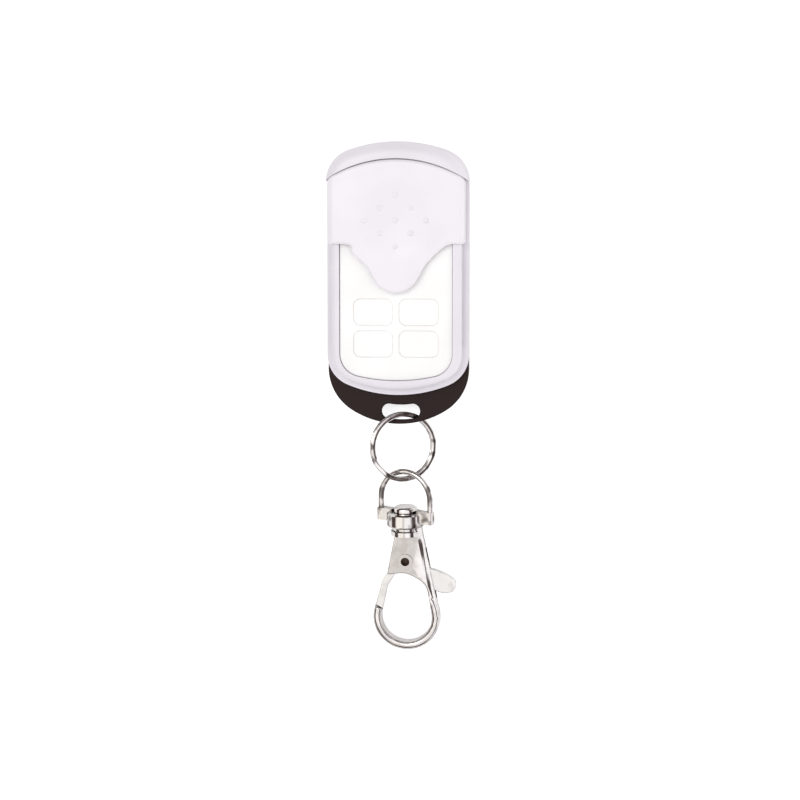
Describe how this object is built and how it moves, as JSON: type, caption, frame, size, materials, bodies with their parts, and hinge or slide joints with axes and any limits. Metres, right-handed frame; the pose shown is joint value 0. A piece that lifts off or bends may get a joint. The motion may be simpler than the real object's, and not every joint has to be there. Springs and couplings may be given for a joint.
{
  "type": "key fob",
  "caption": "Pocket remote key fob with a sliding thumb cover over its push keys, on a split ring with a swivel trigger clasp.",
  "frame": {"origin": "middle of the flat back of the housing", "axes": "+X to the right of the front face, +Y towards the hood end, away from the key ring, +Z out of the front face"},
  "size_m": [0.0306, 0.1106, 0.0121],
  "materials": {
    "dark_plastic": "fine moulded texture, satin, very dark brown",
    "white_plastic": "satin gloss moulded white",
    "key_plastic": "satin gloss moulded white",
    "switch_plastic": "matte black",
    "board": "green solder mask",
    "chip_plastic": "matte black moulding",
    "tin_plate": "tin-plated strip",
    "copper": "copper foil",
    "lamp": "clear tinted moulding",
    "cell_steel": "brushed",
    "screw_steel": "zinc-plated",
    "nickel_plate": "polished nickel plate",
    "spring_steel": "drawn wire"
  },
  "bodies": {
    "housing": {"rear_housing": "dark_plastic", "front_housing": "white_plastic", "button_panel": "white_plastic", "tact_switches": "switch_plastic", "circuit_board": "board", "encoder_chip": "chip_plastic", "resonator_can": "tin_plate", "antenna_trace": "copper", "status_led": "lamp", "led_lens": "lamp", "coin_cell": "cell_steel", "battery_contact_negative": "tin_plate", "battery_contact_positive": "tin_plate", "housing_screws": "screw_steel"},
    "cover": {"slide_cover": "white_plastic"},
    "key_upper_left": {"key_upper_left": "key_plastic", "plunger_upper_left": "switch_plastic"},
    "key_upper_right": {"key_upper_right": "key_plastic", "plunger_upper_right": "switch_plastic"},
    "key_lower_left": {"key_lower_left": "key_plastic", "plunger_lower_left": "switch_plastic"},
    "key_lower_right": {"key_lower_right": "key_plastic", "plunger_lower_right": "switch_plastic"},
    "ring": {"split_ring": "nickel_plate"},
    "bail": {"swivel_bail": "nickel_plate"},
    "hook": {"hook_body": "nickel_plate", "gate_pin": "nickel_plate", "gate_spring": "spring_steel"},
    "gate": {"gate_lever": "nickel_plate"}
  },
  "joints": [
    {"name": "cover_slide", "type": "slide", "parent": "housing", "child": "cover", "axis": [0, -1, 0], "range_m": [0, 0.0216]},
    {"name": "key_upper_left_press", "type": "slide", "parent": "housing", "child": "key_upper_left", "axis": [0, 0, -1], "range_m": [0, 0.0003], "stiffness_N_per_m": 1000, "springref_m": -0.0005},
    {"name": "key_upper_right_press", "type": "slide", "parent": "housing", "child": "key_upper_right", "axis": [0, 0, -1], "range_m": [0, 0.0003], "stiffness_N_per_m": 1000, "springref_m": -0.0005},
    {"name": "key_lower_left_press", "type": "slide", "parent": "housing", "child": "key_lower_left", "axis": [0, 0, -1], "range_m": [0, 0.0003], "stiffness_N_per_m": 1000, "springref_m": -0.0005},
    {"name": "key_lower_right_press", "type": "slide", "parent": "housing", "child": "key_lower_right", "axis": [0, 0, -1], "range_m": [0, 0.0003], "stiffness_N_per_m": 1000, "springref_m": -0.0005},
    {"name": "ring_swing", "type": "hinge", "parent": "housing", "child": "ring", "pos_m": [0, -0.0298, 0.00485], "axis": [1, 0, 0], "range_deg": [-65, 10]},
    {"name": "bail_swing", "type": "hinge", "parent": "ring", "child": "bail", "pos_m": [0.0009, -0.04235, 0.00492], "axis": [0.8746, 0, -0.4848], "range_deg": [-60, 60]},
    {"name": "hook_swivel", "type": "hinge", "parent": "bail", "child": "hook", "pos_m": [0.0014, -0.05105, 0.0043], "axis": [0, 0.9947, 0.1028], "continuous": true},
    {"name": "gate_pivot", "type": "hinge", "parent": "hook", "child": "gate", "pos_m": [0.0014, -0.0602, 0.00335], "axis": [0, -0.1028, 0.9947], "range_deg": [0, 25], "stiffness_Nm_per_rad": 0.01, "springref_deg": -0.57, "deforming": ["gate_spring"]}
  ]
}
